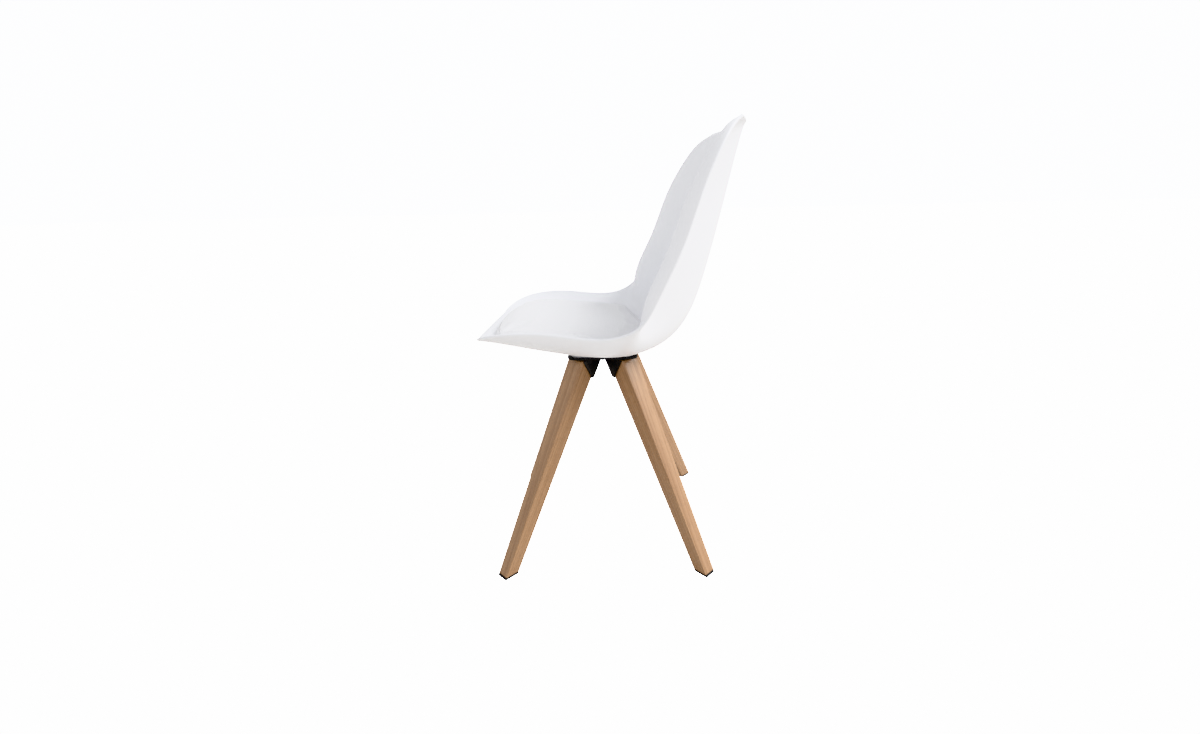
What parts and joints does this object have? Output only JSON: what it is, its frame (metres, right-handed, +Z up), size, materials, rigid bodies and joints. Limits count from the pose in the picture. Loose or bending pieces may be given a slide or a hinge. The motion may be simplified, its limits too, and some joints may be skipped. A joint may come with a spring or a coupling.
{
  "type": "dining chair",
  "caption": "Side chair with a moulded bucket shell, a padded seat, and splayed square wooden legs held by folded steel brackets under a plate.",
  "frame": {"origin": "on the floor, under the middle of the chair's length and width", "axes": "+Z up; the sitter faces -Y; +X is the sitter's left; the chair is symmetric about the plane X = 0"},
  "size_m": [0.4788, 0.4978, 0.8087],
  "materials": {
    "white_plastic": "satin moulded polypropylene",
    "white_leather": "fine-grained coated cloth",
    "plywood": "raw",
    "beech_wood": "satin lacquer",
    "black_steel": "powder coat",
    "zinc_steel": "zinc plated",
    "brass": "turned",
    "black_plastic": "moulded nylon"
  },
  "bodies": {
    "root": {"seat_shell": "white_plastic", "seat_board": "plywood", "seat_pad": "white_leather", "mounting_plate": "black_steel", "seat_bolt_front": "black_steel", "seat_washer_front": "zinc_steel", "shell_insert_front": "brass", "seat_bolt_rear": "black_steel", "seat_washer_rear": "zinc_steel", "shell_insert_rear": "brass", "seat_bolt_left": "black_steel", "seat_washer_left": "zinc_steel", "shell_insert_left": "brass", "seat_bolt_right": "black_steel", "seat_washer_right": "zinc_steel", "shell_insert_right": "brass", "leg_front_left": "beech_wood", "leg_bracket_front_left": "black_steel", "bracket_rivet_front_left": "black_steel", "leg_bolt_front_left_1": "black_steel", "leg_insert_front_left_1": "brass", "leg_bolt_front_left_2": "black_steel", "leg_insert_front_left_2": "brass", "glide_front_left": "black_plastic", "glide_nail_front_left": "zinc_steel", "leg_front_right": "beech_wood", "leg_bracket_front_right": "black_steel", "bracket_rivet_front_right": "black_steel", "leg_bolt_front_right_1": "black_steel", "leg_insert_front_right_1": "brass", "leg_bolt_front_right_2": "black_steel", "leg_insert_front_right_2": "brass", "glide_front_right": "black_plastic", "glide_nail_front_right": "zinc_steel", "leg_rear_left": "beech_wood", "leg_bracket_rear_left": "black_steel", "bracket_rivet_rear_left": "black_steel", "leg_bolt_rear_left_1": "black_steel", "leg_insert_rear_left_1": "brass", "leg_bolt_rear_left_2": "black_steel", "leg_insert_rear_left_2": "brass", "glide_rear_left": "black_plastic", "glide_nail_rear_left": "zinc_steel", "leg_rear_right": "beech_wood", "leg_bracket_rear_right": "black_steel", "bracket_rivet_rear_right": "black_steel", "leg_bolt_rear_right_1": "black_steel", "leg_insert_rear_right_1": "brass", "leg_bolt_rear_right_2": "black_steel", "leg_insert_rear_right_2": "brass", "glide_rear_right": "black_plastic", "glide_nail_rear_right": "zinc_steel"}
  },
  "joints": []
}
